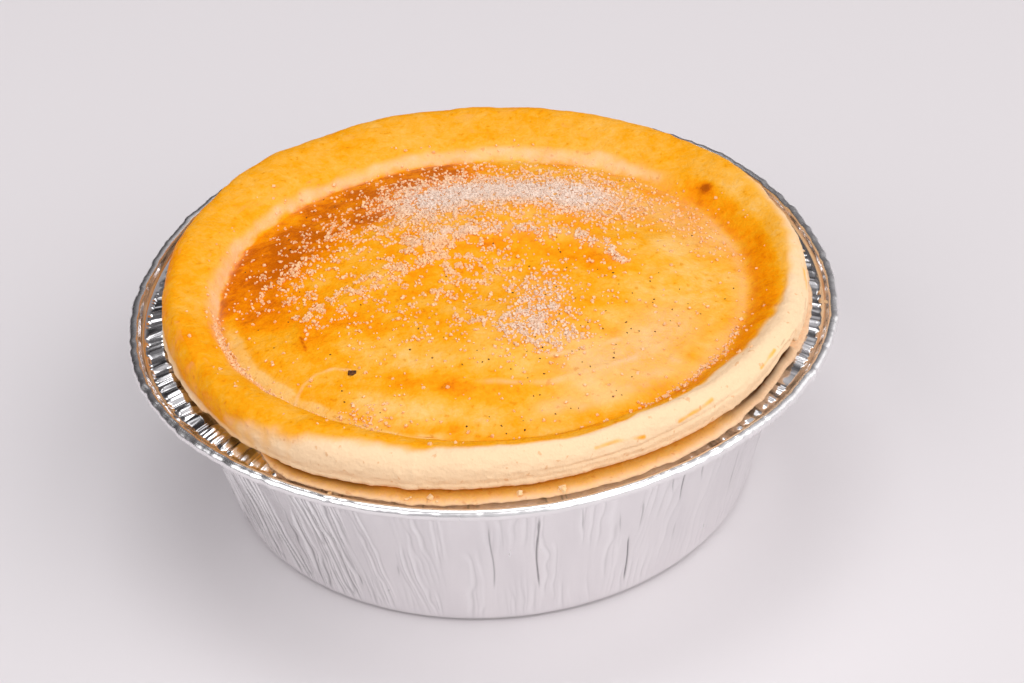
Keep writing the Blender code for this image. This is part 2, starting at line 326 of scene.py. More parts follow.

# brush strokes on the lid, as x and y: where it baked dark or stayed pale, and where it is folded or cracked.
# The pale strokes on its front half are partly lighter baking and partly the egg wash's soft sheen painted in
lidMarks = {
    "brown": [(-41, -2), (-38, 7), (-32, 15), (-25, 22.5), (-17, 28), (-7, 32)],
    "brownInner": [(-31, 7), (-25, 12), (-17, 17)],
    "orangeLeft": [(-35, -8), (-29, -14), (-23, -18), (-18, -18)],
    "orangeMiddle": [(-1, 1.5), (6, 1.8), (13, 0), (19, -5)],
    "deepFront": [(-14, -32), (-7, -34.3), (0, -34.8), (9, -35.5)],
    "paleRight": [(16, -31), (24, -27), (30, -20), (34, -10), (34, 0)],
    "palePatch": [(16, -31), (24, -27), (30, -20)],
    "paleFront": [(-20, -35), (-13, -37.5), (-4, -40), (6, -40.5), (16, -39)],
    "paleMiddle": [(-16, -24), (-8, -27), (0, -28), (8, -27)],
    "paleCorner": [(9, -39.5), (16, -38), (24, -34), (30, -29)],
    "brow": [(-10, 3.2), (-5, 5), (0, 5.6), (8.3, 4.8), (15.7, 3.2), (20.6, 0.4), (23.6, -4.2)],
    "ridge": [(-28.3, -13.4), (-22.2, -9.6), (-15.3, -3.6), (-10, 1.5), (-6.6, 5)],
    "washLoop": [(-30.6, -33), (-30.2, -31), (-29.2, -29), (-27.2, -27.2), (-24.2, -26.6), (-21.8, -27.6)],
    "washStreak": [(-2, -33.2), (4, -33.8), (10, -34), (16, -32), (23.5, -28.5), (28, -25)],
    "washStreakHigh": [(7, -29), (15, -27.5), (22, -24)],
    "hairCrack": [(-29.9, -17.6), (-29.5, -19.2), (-28.9, -21.2)],
    "sugarThick": [(-6.5, 18.6), (-1, 20.2), (6, 20.6), (12, 20), (17, 18.5)],
    "sugarPatch": [(9.4, -11.7), (9.8, -16.9), (5.5, -21.3), (10.8, -23.5)],
    "sugarHigh": [(-8, 1), (-6, -1), (-3.5, -5.5), (2, -4.8)],
    "sugarLow": [(-5, -17.4), (-2, -18.4), (2, -20)],
    "sugarLeft": [(-33, -4), (-31.4, -0.6), (-25, 8.8), (-17.3, 17.5)],
    "sugarHaze": [(20, 19), (26.2, 17), (34.7, 13), (39, 4.8)],
    "sugarBack": [(-11, 13), (-8, 5)],
    "sugarFront": [(-22, -37), (-18, -38.5)],
}

# for each effect, the marks that make it, with how strong and how wide each stroke is
lidStrokes = {
    "folds": [("brow", 0.40, 2.2), ("ridge", 0.35, 2.0), ("washStreak", 0.12, 1.0), ("washLoop", 0.12, 0.7)],
    # paleRight, paleFront and paleMiddle make the lid's front half paler: partly lighter baking, partly
    # painted sheen of the egg wash
    "bake": [("brown", 0.41, 10), ("brownInner", 0.20, 7), ("orangeLeft", 0.20, 6), ("orangeMiddle", 0.16, 5),
             ("deepFront", 0.20, 2.8), ("paleRight", -0.24, 8), ("paleFront", -0.26, 3.5),
             ("paleMiddle", -0.18, 3.5), ("hairCrack", 0.33, 0.20)],
    "dustAndShade": [("sugarThick", 0.55, 7.5), ("sugarPatch", 0.25, 3.5), ("brow", 0.2, 1.4),
             ("sugarHaze", 0.35, 4.5), ("palePatch", 0.46, 5)],
    "heaped": [("sugarThick", 2.1, 7.0), ("sugarThick", 0.5, 11), ("sugarPatch", 1.2, 4.2),
               ("sugarHaze", 0.25, 5), ("brow", 0.8, 0.7), ("sugarBack", 1.0, 3.6)],
    "strewn": [("brow", 1.3, 1.4), ("ridge", 3.2, 1.8), ("sugarHigh", 1.8, 4), ("sugarLow", 1.0, 2.4),
               ("sugarLeft", 0.5, 6)],
    "whitened": [("sugarThick", 1.2, 7), ("sugarPatch", 0.7, 5), ("brow", 0.5, 1.2)],
}

# strokes round the rim's outside, as turn and height
sideMarks = {
    "gold": [[(-73, 38.9), (-69, 38.9), (-64.5, 38.3)], [(-57.5, 38.4), (-53.5, 38.8), (-50, 39.2)],
             [(-38, 38.7), (-33, 39.1)], [(-12, 38.0), (-7, 38.9)]],
    "scratch": [[(-31, 38.6), (-29.5, 38.9)], [(-18, 37.4), (-15, 37.9)]],
    # turn, and the radius of the profile where the wash's gold gives way to cream
    "creamStart": [(-180, 53.8), (-133, 53.9), (-124, 53.2), (-117, 52.4), (-105, 51.2), (-90, 50.7),
                   (-75, 50.3), (-65, 49.8), (-55, 48.6), (-43, 47.8), (-27, 48.1), (-14, 49.1), (-5, 50.6),
                   (6, 51.4), (20, 52.4), (40, 53.6), (180, 53.8)],
}


def strokesFor(effect, x, y):  # all the strokes of one effect, added up
    return sum(amount * strokeMask(x, y, lidMarks[mark], width) for mark, amount, width in lidStrokes[effect])


def sideStroke(turn, height, path, width):  # a brush stroke on the rim's outside, along turns and heights
    reach = 0.95  # how far a degree of turn reaches there
    return strokeMask(turnFrom(turn, 0) * reach, height, [(at * reach, up) for at, up in path], width)


def domeRelief(x, y):
    brow = 1.5 * bell(y + 0.012 * x * x, 12, 8) * bell(x, 2, 27)
    hollow = -0.9 * bell(y, -8, 9) * bell(x, -4, 22)
    waves = 0.35 * np.sin(x / 6.1 + 0.8) * np.sin(y / 5.3 - 0.4)
    return brow + hollow + waves + strokesFor("folds", x, y)


def pieSection():  # the whole profile, and the rows where its rim starts and ends
    p = pieShape
    share = np.linspace(0.006, 1, p["domeRows"])
    radii = p["groove"] * (0.55 * np.sin(np.pi / 2 * share) + 0.45 * share)
    domeRise = p["domeHeight"] - p["grooveHeight"]
    heights = p["grooveHeight"] + domeRise * (1 - (radii / p["groove"]) ** p["domePower"])
    dome = np.stack([radii, heights], axis=1)
    rim = curveThrough(p["rimLine"], 7)
    case = straightThrough(p["caseLine"], [8, 3, 3, 4])
    return np.vstack([dome[:-1], rim, case]), len(dome) - 1, len(dome) - 1 + len(rim)


def rimSwell(turn, x, y, height, radius, onTop):
    # finger dents, slow swells and the grain of the baked surface
    crest = smoothStep(46, 49, radius) * onTop
    swell = 0.20 * lumps(x, y, height, 7, 21) * crest
    for at, depth, spread in pieShape["dents"]:
        swell -= depth * around(turn, at, spread) * crest * smoothStep(36, 39, height)
    swell += onTop * (0.13 * lumps(x, y, height, 3.4, 22) + 0.06 * lumps(x, y, height, 1.2, 23))
    side = smoothStep(52.6, 53.8, radius) * onTop * smoothStep(34.0, 34.8, height)
    swell += side * (0.09 * lumps(x, y, height * 1.8, 1.6, 24) + 0.05 * lumps(x, y, height, 0.7, 25))
    crease = betweenTurns(turn, -80, -46, 6) * bell(height, 37.2 + 0.5 * np.sin(np.radians(turn) * 6), 0.35)
    slit = around(turn, pieShape["slitTurn"], 0.35) * bell(height, 36.2, 2.2)
    return swell - side * (0.24 * crease + 0.45 * slit)


def makePie():
    p = pieShape
    section, rimStart, rimEnd = pieSection()
    turn, radius, height = allRound(section, p["around"])
    angle = np.radians(turn)
    px, py = np.cos(angle), np.sin(angle)
    normals = sectionNormals(section)
    row = np.arange(len(section))[:, None] * np.ones_like(turn)
    onTop = row < rimEnd

    # the same slow waves and off-centre recess as the solid
    lid = smoothStep(32.5, 34.4, height)
    rim = smoothStep(p["groove"] - 1, p["crestInner"], radius) * lid
    top = smoothStep(p["grooveHeight"] - 1, p["crest"], height)
    edge = smoothStep(50.4, p["outside"] - 1, radius) * lid
    dome = (row < rimStart) * (1 - smoothStep(p["groove"] * 0.8, p["groove"], radius))
    recess = lid * (1 - smoothStep(p["crestInner"], p["outside"] - 1, radius))
    backward = 0.5 + 0.5 * py
    sideWave = 0.5 * np.cos(3 * angle + 0.5) + 0.35 * np.cos(4 * angle + 2.5)
    crestWave = 0.35 * np.sin(2 * angle + 0.6) + 0.22 * np.sin(5 * angle) + 0.12 * np.sin(11 * angle + 1)
    rimRise = crestWave - backward * (p["backDrop"] + p["backSlope"] * recess)
    gape = p["gapeLift"] * around(turn, p["gapeTurn"], p["gapeSpread"])
    fromSlit = turnFrom(turn, p["slitTurn"])
    gape += 1.4 * smoothStep(-18, -2, fromSlit) * (1 - smoothStep(-1, 1, fromSlit))
    gape *= edge * (1 - 0.6 * top) * (1 - 0.7 * smoothStep(36.5, 39.5, height))

    # a lip of thin pastry under the edge, broken off at the left, and the case's own edge on the flange
    low = bell(height, 34.85, 0.42) * (radius > 52.9) * onTop
    ragged = 0.5 * lumps(px * 54, py * 54, 0, 2.2, 31) + 0.3 * lumps(px * 54, py * 54, 0, 0.9, 32)
    lip = 0.45 * betweenTurns(turn, 172, 213.5, 1.5) + 0.25 * betweenTurns(turn, 60, 150, 10)
    ledge = bell(height, 33.5, 0.38) * (radius > 51.9) * onTop
    caseEdge = 2.8 * betweenTurns(turn, -131, 60, 5) + 1.2 * betweenTurns(turn, -127, -44, 9) + 0.4 * ragged
    caseEdge = caseEdge * ledge
    wobble = 0.4 * lumps(px * 47, py * 47, 0, 5, 26) * bell(height, 38, 1.6)
    wobble = wobble * (radius < 49) * (row >= rimStart - 4)
    jut = p["slitJut"] * smoothStep(-1.2, 0.4, fromSlit) * (1 - smoothStep(2, 22, fromSlit))
    jut = jut * (1 - smoothStep(35.5, 38.5, height)) * (height > 34.2)
    moved = radius + sideWave * edge + wobble + low * (lip + 0.45 * ragged) + caseEdge + jut * edge
    for at, width, out, up in p["swells"]:
        moved += out * around(turn, at, width) * edge
        rimRise = rimRise + up * around(turn, at, width)
    x, y = moved * px, moved * py
    x = x + p["mouthShift"] * rim * recess
    y = y + p["shift"] * lid + (p["recessShift"] - p["recessSquash"] * y) * recess
    swell = rimSwell(turn, x, y, height, radius, onTop)
    band = betweenTurns(turn, 190, 258, 9) * (row < rimStart + 3) * bell(radius, 42.4, 2.0)
    rise = (domeRelief(x, y) - p["underSugar"]) * dome * lid + rimRise * top * rim + gape - 0.35 * band
    rise += 0.14 * ledge * lumps(px * 55, py * 55, 0, 0.8, 34)
    x = x + normals[:, :1] * swell * px
    y = y + normals[:, :1] * swell * py
    z = height + rise + normals[:, 1:] * swell
    unevenRadius = radius + 0.4 * lumps(x, y, z, 1.0, 45) + 0.5 * lumps(x, y, z, 2.6, 46)
    onDome = np.where(row < rimStart + 14, 1 - smoothStep(43.4, 45.3, unevenRadius), 0)
    masks = crustMasks(turn, radius, height, x, y, z, onDome, onTop * 1.0)
    return closedTurning("pieCrust", x, y, z, masks)


def crustMasks(turn, radius, height, x, y, z, onDome, onTop):
    # where the crust browned, stayed pale, took the egg wash or is dusted with sugar, and where painted
    # shade, shadow and light are added to its colour
    m = lidMarks
    onRim = onTop * (1 - onDome)
    mottle = lumps(x, y, z, 7, 41)
    speckle = lumps(x, y, z, 2.4, 42)
    bakeDome = 0.46 + strokesFor("bake", x, y)
    bakeDome += 0.10 * mottle + 0.13 * speckle + 0.13 * lumps(x / 1.7, y, z, 3.1, 43)
    bandIn = 41.4 + 1.2 * betweenTurns(turn, 240, 262, 8) + 0.5 * speckle
    paleBand = betweenTurns(turn, 188, 262, 6) * smoothStep(bandIn - 0.5, bandIn + 0.5, radius) * onDome
    bakeDome -= 0.38 * paleBand

    innerSlope = onRim * (radius < 49.0)
    bakeRim = 0.47 + 0.10 * mottle + 0.07 * speckle
    # deeper orange on the inner slope at the front and right: partly browning, partly painted shade where
    # that slope faces away from the light
    bakeRim += 0.20 * betweenTurns(turn, -100, 40, 10) * (1 - smoothStep(46.6, 48.8, radius)) * onRim
    bakeRim -= 0.16 * betweenTurns(turn, -60, 34, 12) * smoothStep(47.4, 49.4, radius) * onRim
    bakeRim -= 0.08 * betweenTurns(turn, 40, 185, 15) * onRim * (1 - smoothStep(51.5, 53.0, radius))
    bakeRim += 0.12 * betweenTurns(turn, 34, 190, 15) * smoothStep(52.5, 54.0, radius) * onRim
    bakeRim += 0.05 * betweenTurns(turn, 150, 238, 14) * smoothStep(49.5, 52.5, radius)
    # paler under the rim: unbrowned pastry, lightened further to paint the light that the foil throws up
    # under it
    under = 1 - smoothStep(34.3, 35.0, height)
    bakeRim = bakeRim * (1 - 0.6 * under)
    # painted shadow: a golden-brown band under the rim's edge at the front
    bakeRim += 0.20 * betweenTurns(turn, -131, -44, 6) * bell(height, 34.0, 0.26) * (radius > 51.8)
    bake = np.clip(onDome * bakeDome + (1 - onDome) * bakeRim, 0, 1.1)

    # the unwashed outside of the rim is cream, more of it in front and at the right
    creamFrom = np.interp(turnFrom(turn, 0), *np.array(sideMarks["creamStart"]).T)
    creamFrom = creamFrom + 0.6 * mottle + 0.5 * speckle
    soft = 1.2 + 1.1 * around(turn, -6, 32) + 0.9 * around(turn, -112, 22) + 0.7 * around(turn, 14, 16)
    creamSide = smoothStep(creamFrom - soft, creamFrom + soft, radius) * onTop
    creamSide *= 0.30 + 0.70 * betweenTurns(turn, -134, 30, 14)
    creamSide *= 1 - 0.34 * betweenTurns(turn, -14, 50, 12)
    creamLow = 0.6 * (1 - smoothStep(35.2, 37.4, height)) * (radius > 52) * onTop
    creamSide = np.maximum(creamSide, creamLow)
    lip = betweenTurns(turn, 168, 214, 4) * bell(height, 34.9, 0.7) * (radius > 53)
    for path in sideMarks["gold"]:
        streak = sideStroke(turn, height, path, 0.45) * (0.6 + 0.6 * speckle) * (radius > 52.6)
        creamSide = creamSide * (1 - np.clip(streak, 0, 0.75))
    creamSide = np.maximum(creamSide, 0.9 * lip)
    # pale inner slope at the back and left: partly unwashed pastry, partly painted light where that slope
    # faces the lamps
    creamSlope = innerSlope * smoothStep(0, 3.4, 49.2 - radius - 0.5 * speckle - 0.4 * mottle)
    creamSlope = 0.49 * creamSlope * betweenTurns(turn, 42, 222, 10)
    grooveCream = 0.27 * betweenTurns(turn, -50, 30, 8) * bell(radius, 43.6, 1.1) * onTop
    creamSlope = np.maximum(creamSlope, grooveCream)
    streaky = lumps(np.radians(turn) * 50 / 4, radius, 0 * turn, 0.9, 44)
    creamTop = 0.24 * betweenTurns(turn, 60, 215, 12) * smoothStep(0.1, 0.6, streaky) * onRim
    creamLoop = 0.40 * strokeMask(x, y, m["washLoop"], 0.5)
    creamLoop += (0.28 + 0.3 * speckle) * strokeMask(x, y, m["washStreak"], 0.9)
    creamLoop += (0.25 + 0.3 * speckle) * strokeMask(x, y, m["washStreakHigh"], 0.9)
    creamLoop += 0.38 * strokeMask(x, y, m["paleCorner"], 3.2)
    cream = np.maximum.reduce([creamSide, creamSlope, creamTop, paleBand * 0.14, creamLoop * onDome])
    caseCream = 0.35 + 0.25 * betweenTurns(turn, -135, 172, 8) + 0.2 * betweenTurns(turn, -60, 172, 12)
    # less cream just under the rim's edge at the front: part of the painted shadow band there
    caseCream = caseCream * (1 - 0.7 * betweenTurns(turn, -140, -44, 8) * smoothStep(33.6, 33.85, height))
    cream = np.clip(np.where(under * onTop > 0.5, caseCream, cream), 0, 1)

    dustAndShade = strokesFor("dustAndShade", x, y) * onDome
    dustAndShade += 0.21 * onTop * bell(radius, 43.4, 1.2) * betweenTurns(turn, -48, 60, 10)
    dusted = 0.35 * betweenTurns(turn, 60, 235, 15) * smoothStep(-0.5, 0.4, speckle)
    dustAndShade += onTop * bell(radius, 44.6, 1.1) * dusted
    # tan on the case's ledge on the flange: grease and painted shadow from the rim above, drawn with the
    # dusting colour
    dustAndShade += 0.75 * bell(height, 33.5, 0.28) * (radius > 51.8) * onTop
    glaze = np.clip(1 - cream * 1.1 - under, 0, 1)
    # painted shade in the hair crack
    dark = 0.14 * strokeMask(x, y, m["hairCrack"], 0.20) * onDome
    # painted shadow in the gap under the lifted rim at the right, and a painted dark line under the rim's
    # edge at the front
    opening = smoothStep(-32, -12, turnFrom(turn, pieShape["slitTurn"])) * betweenTurns(turn, -60, -25.6, 0.8)
    shaded = np.clip(1.6 * bell(height, 33.97, 0.17), 0, 1) * (radius > 51.8) * onTop
    opening = np.maximum(opening, 0.30 * betweenTurns(turn, -131, -40, 5))
    dark = np.maximum(dark, np.maximum(opening, 0.6 * betweenTurns(turn, -131, -108, 5)) * shaded)
    for path in sideMarks["scratch"]:
        dark = np.maximum(dark, 0.35 * sideStroke(turn, height, path, 0.16) * (radius > 52.6))
    spotX, spotY, spotSize = pieShape["burntSpot"]
    spot = bell(np.hypot(x - spotX, y - spotY), 0, spotSize) * (1 - under)
    bake = bake + 0.6 * spot
    dark = np.maximum(dark, 0.3 * spot)
    # burntAndShade holds the burnt spot and scratches, and the painted shade and shadow in the crack, gap and
    # under the rim
    return {"bake": bake, "cream": cream, "dustAndShade": np.clip(dustAndShade, 0, 1), "glaze": glaze, "burntAndShade": dark}


# Scattered bits: sugar, dark specks and crumbs, each kind joined in one piece

def surfaceSpots(piece, wanted, thickness):
    # random places on the crust, as dense as thickness(x, y, z, up) asks; gives places and normals
    mesh = piece.data
    centres = np.empty(len(mesh.polygons) * 3)
    mesh.polygons.foreach_get("center", centres)
    normals = np.empty(len(mesh.polygons) * 3)
    mesh.polygons.foreach_get("normal", normals)
    areas = np.empty(len(mesh.polygons))
    mesh.polygons.foreach_get("area", areas)
    centres, normals = centres.reshape(-1, 3) / mm, normals.reshape(-1, 3)
    weight = areas * np.maximum(thickness(centres[:, 0], centres[:, 1], centres[:, 2], normals[:, 2]), 0)
    chosen = draw.choice(len(weight), size=wanted, p=weight / weight.sum())
    jitter = draw.normal(0, 0.16, (wanted, 3))
    across = jitter - normals[chosen] * np.sum(jitter * normals[chosen], axis=1, keepdims=True)
    return centres[chosen] + across, normals[chosen]


bitCorners = np.array([(sx, sy, sz) for sx in (-1, 1) for sy in (-1, 1) for sz in (-1, 1)], float)
bitSides = [(0, 1, 3, 2), (4, 6, 7, 5), (0, 4, 5, 1), (2, 3, 7, 6), (0, 2, 6, 4), (1, 5, 7, 3)]


def randomTurns(count):
    q = draw.normal(size=(count, 4))
    q /= np.linalg.norm(q, axis=1, keepdims=True)
    w, x, y, z = q.T
    cells = [1 - 2 * (y * y + z * z), 2 * (x * y - z * w), 2 * (x * z + y * w),
             2 * (x * y + z * w), 1 - 2 * (x * x + z * z), 2 * (y * z - x * w),
             2 * (x * z - y * w), 2 * (y * z + x * w), 1 - 2 * (x * x + y * y)]
    return np.stack(cells, axis=1).reshape(-1, 3, 3)


def makeBits(name, spots, sizes, uneven, flatness=1.0):  # each bit is a knocked-about block, turned at random
    count = len(spots)
    shape = bitCorners[None] * (1 + draw.uniform(-uneven, uneven, (count, 8, 3)))
    width = draw.uniform(0.6, 1.0, count)
    depth = draw.uniform(0.6, 1.0, count) * flatness
    shape = shape * np.stack([np.ones(count), width, depth], axis=1)[:, None]
    turned = np.einsum("nij,nkj->nki", randomTurns(count), shape)
    points = (spots[:, None] + turned * sizes[:, None, None] / 2).reshape(-1, 3) * mm
    faces = (np.array(bitSides)[None] + (np.arange(count) * 8)[:, None, None]).reshape(-1, 4)
    mesh = bpy.data.meshes.new(name)
    mesh.from_pydata(points.tolist(), [], faces.tolist())
    mesh.update()
    return putInScene(name, mesh)


def pastGroove(x, y):  # how far a place is outside the lid's groove, which lies a little to the front
    return np.hypot(x, (y + 4) / 0.94) - pieShape["groove"]


sugarLook = {
    "grains": 15800, "size": (0.21, 0.50), "clump": 1.0, "drift": 4.5,
    "colours": [(0.3, (0.80, 0.58, 0.45)), (0.7, (0.88, 0.72, 0.61))],
    "single": (0.94, 0.50, 0.17),  # where single grains let the crust through
    "roughness": 0.3, "grain": 0.8,
}


def sugarThickness(x, y, z, up):
    turn = np.degrees(np.arctan2(y + 4, x))
    past = pastGroove(x, y)
    clumps = smoothStep(-0.2, 0.6, lumps(x, y, 0 * x, sugarLook["clump"], 51))
    clumps *= 0.3 + 0.7 * smoothStep(-0.5, 0.5, lumps(x, y, 0 * x, sugarLook["drift"], 52))
    heaped = strokesFor("heaped", x, y)
    strewn = strokesFor("strewn", x, y) + 0.42 * bell(np.hypot(x + 4, y - 2), 0, 22)
    grooved = 1.7 * betweenTurns(turn, 190, 246, 8) + 0.8 * betweenTurns(turn, -55, -20, 8)
    grooved = grooved * bell(past, 0.4, 0.7) + 0.5 * strokeMask(x, y, lidMarks["sugarFront"], 1.6)
    thick = (heaped * (0.16 + 0.84 * clumps) + strewn * clumps) * (past < 0.5)
    thick += grooved * (0.3 + 0.7 * clumps) + 0.004
    return thick * (past < 6) * (up > 0.2) * (z > 35)


def sugarHeap(x, y):  # 1 where the grains lie thick and look white, less where single ones lie
    return np.clip(strokesFor("whitened", x, y) + 0.08, 0, 1)


speckLook = {
    "specks": 130, "size": (0.16, 0.34),
    "flake": (-21.6, -28.4), "flakeSize": 1.15,  # the one large burnt flake
    "colours": [(0.35, (0.02, 0.007, 0.003)), (0.7, (0.18, 0.06, 0.01))],
    "roughness": 0.9, "grain": 0.4,
}


def speckThickness(x, y, z, up):
    spreadOut = bell(np.hypot(x - 14, y + 22), 0, 17) + 0.10
    return spreadOut * (pastGroove(x, y) < -1) * (up > 0.5) * (z > 35)


crumbLook = {
    "spots": [(-13.0, -54.2, 33.65), (-10.2, -54.6, 33.65), (-9.4, -55.2, 33.6), (3.4, -55.3, 33.6),
              (9.6, -54.6, 33.6), (-24.6, -51.0, 32.95), (34.4, -46.2, 32.95), (57.0, -9, 32.95)],
    "size": (0.3, 0.9),
    "colours": [(0.3, (0.84, 0.50, 0.20)), (0.7, (0.93, 0.70, 0.44))],
    "roughness": 0.75, "grain": 0.8,
}


# Materials

def newMaterial(name):
    material = bpy.data.materials.new(name)
    material.use_nodes = True
    tree = material.node_tree
    tree.nodes.clear()
    out = tree.nodes.new("ShaderNodeOutputMaterial")
    shader = tree.nodes.new("ShaderNodeBsdfPrincipled")
    tree.links.new(shader.outputs[0], out.inputs["Surface"])
    return material, tree, shader


def mask(tree, name):
    node = tree.nodes.new("ShaderNodeAttribute")
    node.attribute_name = name
    return node.outputs["Fac"]


def noise(tree, size, rough=0.55):  # size in millimetres, on the object's own coordinates
    place = tree.nodes.new("ShaderNodeTexCoord")
    node = tree.nodes.new("ShaderNodeTexNoise")
    node.inputs["Scale"].default_value = 1 / (size * mm)
    node.inputs["Detail"].default_value = 2
    node.inputs["Roughness"].default_value = rough
    tree.links.new(place.outputs["Object"], node.inputs["Vector"])
    return node.outputs["Fac"]


def calc(tree, kind, a, b=None, c=None, clamp=False):
    node = tree.nodes.new("ShaderNodeMath")
    node.operation = kind
    node.use_clamp = clamp
    for socket, value in zip(node.inputs, (a, b, c)):
        if value is None:
            continue
        if isinstance(value, (int, float)):
            socket.default_value = value
        else:
            tree.links.new(value, socket)
    return node.outputs[0]


def swing(tree, value, amount):  # a value from 0 to 1 as a change of up to half the amount either way
    return calc(tree, "MULTIPLY_ADD", value, amount, -amount / 2)


def spread(tree, value, low, high, outLow=0.0, outHigh=1.0):  # a soft step from low to high
    node = tree.nodes.new("ShaderNodeMapRange")
    node.interpolation_type = "SMOOTHSTEP"
    for name, number in (("From Min", low), ("From Max", high), ("To Min", outLow), ("To Max", outHigh)):
        node.inputs[name].default_value = number
    tree.links.new(value, node.inputs["Value"])
    return node.outputs[0]


def blendColour(tree, share, a, b):
    node = tree.nodes.new("ShaderNodeMix")
    node.data_type = "RGBA"
    sockets = {s.identifier: s for s in node.inputs}
    for key, value in (("Factor_Float", share), ("A_Color", a), ("B_Color", b)):
        if isinstance(value, (int, float)):
            sockets[key].default_value = value
        elif isinstance(value, tuple):
            sockets[key].default_value = (*value, 1)
        else:
            tree.links.new(value, sockets[key])
    return next(s for s in node.outputs if s.identifier == "Result_Color")


def ramp(tree, value, stops):
    node = tree.nodes.new("ShaderNodeValToRGB")
    bar = node.color_ramp
    while len(bar.elements) > 1:
        bar.elements.remove(bar.elements[-1])
    bar.elements[0].position = stops[0][0]
    bar.elements[0].color = (*stops[0][1], 1)
    for at, colour in stops[1:]:
        bar.elements.new(at).color = (*colour, 1)
    tree.links.new(value, node.inputs[0])
    return node.outputs["Color"]


def makeGrain():  # the pieces' materials share this group for coarse and fine grain, sized in millimetres
    group = bpy.data.node_groups.new("surfaceGrain", "ShaderNodeTree")
    for name in ("Coarse Size", "Fine Size", "Along"):
        group.interface.new_socket(name, in_out="INPUT", socket_type="NodeSocketFloat")
    for name in ("Coarse", "Fine"):
        group.interface.new_socket(name, in_out="OUTPUT", socket_type="NodeSocketFloat")
    given = group.nodes.new("NodeGroupInput")
    made = group.nodes.new("NodeGroupOutput")
    place = group.nodes.new("ShaderNodeTexCoord")
    across = group.nodes.new("ShaderNodeCombineXYZ")
    across.inputs[0].default_value = across.inputs[1].default_value = 1
    group.links.new(given.outputs["Along"], across.inputs[2])
    drawn = group.nodes.new("ShaderNodeVectorMath")
    drawn.operation = "MULTIPLY"
    group.links.new(place.outputs["Object"], drawn.inputs[0])
    group.links.new(across.outputs[0], drawn.inputs[1])
    for name, detail in (("Coarse", 4), ("Fine", 3)):
        node = group.nodes.new("ShaderNodeTexNoise")
        node.inputs["Detail"].default_value = detail
        node.inputs["Roughness"].default_value = 0.55
        group.links.new(drawn.outputs[0], node.inputs["Vector"])
        group.links.new(calc(group, "DIVIDE", 1 / mm, given.outputs[name + " Size"]), node.inputs["Scale"])
        group.links.new(node.outputs["Fac"], made.inputs[name])
    return group


def grain(tree, coarse, fine, along=1.0):  # along under 1 draws the grain out upwards
    node = tree.nodes.new("ShaderNodeGroup")
    node.node_tree = bpy.data.node_groups.get("surfaceGrain") or makeGrain()
    for name, value in (("Coarse Size", coarse), ("Fine Size", fine), ("Along", along)):
        node.inputs[name].default_value = value
    return node.outputs["Coarse"], node.outputs["Fine"]


def bumpFrom(tree, height, distance, strength):  # the distance is in metres
    node = tree.nodes.new("ShaderNodeBump")
    node.inputs["Distance"].default_value = distance
    node.inputs["Strength"].default_value = strength
    tree.links.new(height, node.inputs["Height"])
    return node.outputs["Normal"]


crustLook = {
    "browning": [(0.0, (0.93, 0.55, 0.17)), (0.28, (0.93, 0.45, 0.055)), (0.5, (0.93, 0.375, 0.006)),
                 (0.7, (0.92, 0.285, 0.0)), (0.88, (0.77, 0.185, 0.0)), (1.0, (0.60, 0.125, 0.0))],
    "cream": (0.93, 0.66, 0.41),
    # sugar dust, and on the case's ledge grease and painted shadow
    "dustingAndShade": (0.82, 0.50, 0.31),
    "pore": (0.62, 0.19, 0.004),
    # burnt spot and scratches, and painted shade and shadow in the crack, the gap and under the rim
    "burntAndShade": (0.07, 0.022, 0.004),
    "mottling": 0.46, "patching": 0.30, "poring": 0.16, "graining": 0.18,  # how far each changes the browning
    "roughness": 0.66, "smoother": -0.22, "shine": 0.05, "wash": 0.03, "washRoughness": 0.25,
}


def crustMaterial():
    k = crustLook
    material, tree, shader = newMaterial("bakedCrust")
    mottle, fine = grain(tree, 2.2, 0.55)
    patches = noise(tree, 6.5)
    pores = noise(tree, 1.1, 0.4)
    tone = calc(tree, "ADD", mask(tree, "bake"), swing(tree, mottle, k["mottling"]))
    tone = calc(tree, "ADD", tone, swing(tree, patches, k["patching"]))
    tone = calc(tree, "ADD", tone, swing(tree, pores, k["poring"]))
    tone = calc(tree, "ADD", tone, swing(tree, fine, k["graining"]), clamp=True)
    colour = ramp(tree, tone, k["browning"])
    creamShare = calc(tree, "ADD", mask(tree, "cream"), swing(tree, mottle, 0.5))
    creamShare = spread(tree, creamShare, 0.15, 0.85)
    colour = blendColour(tree, creamShare, colour, k["cream"])
    patchy = spread(tree, fine, 0.32, 0.62, 0.35, 1.0)
    # sugar dust, and grease with painted shadow on the case's ledge
    dustAndShadeShare = calc(tree, "MULTIPLY", mask(tree, "dustAndShade"), patchy, clamp=True)
    colour = blendColour(tree, dustAndShadeShare, colour, k["dustingAndShade"])
    poreShare = calc(tree, "MULTIPLY", spread(tree, pores, 0.66, 0.74), 0.35)
    colour = blendColour(tree, poreShare, colour, k["pore"])
    # burnt spot and scratches, and painted shade and shadow
    colour = blendColour(tree, mask(tree, "burntAndShade"), colour, k["burntAndShade"])
    tree.links.new(colour, shader.inputs["Base Color"])
    rough = calc(tree, "MULTIPLY_ADD", mask(tree, "glaze"), k["smoother"], k["roughness"])
    tree.links.new(calc(tree, "ADD", rough, swing(tree, fine, 0.2)), shader.inputs["Roughness"])
    tree.links.new(calc(tree, "MULTIPLY", mask(tree, "glaze"), k["wash"]), shader.inputs["Coat Weight"])
    shader.inputs["Coat Roughness"].default_value = k["washRoughness"]
    shader.inputs["Specular IOR Level"].default_value = k["shine"]
    height = calc(tree, "ADD", calc(tree, "MULTIPLY", mottle, 0.6), calc(tree, "MULTIPLY", fine, 0.4))
    tree.links.new(bumpFrom(tree, height, 0.0004, 0.8), shader.inputs["Normal"])
    return material


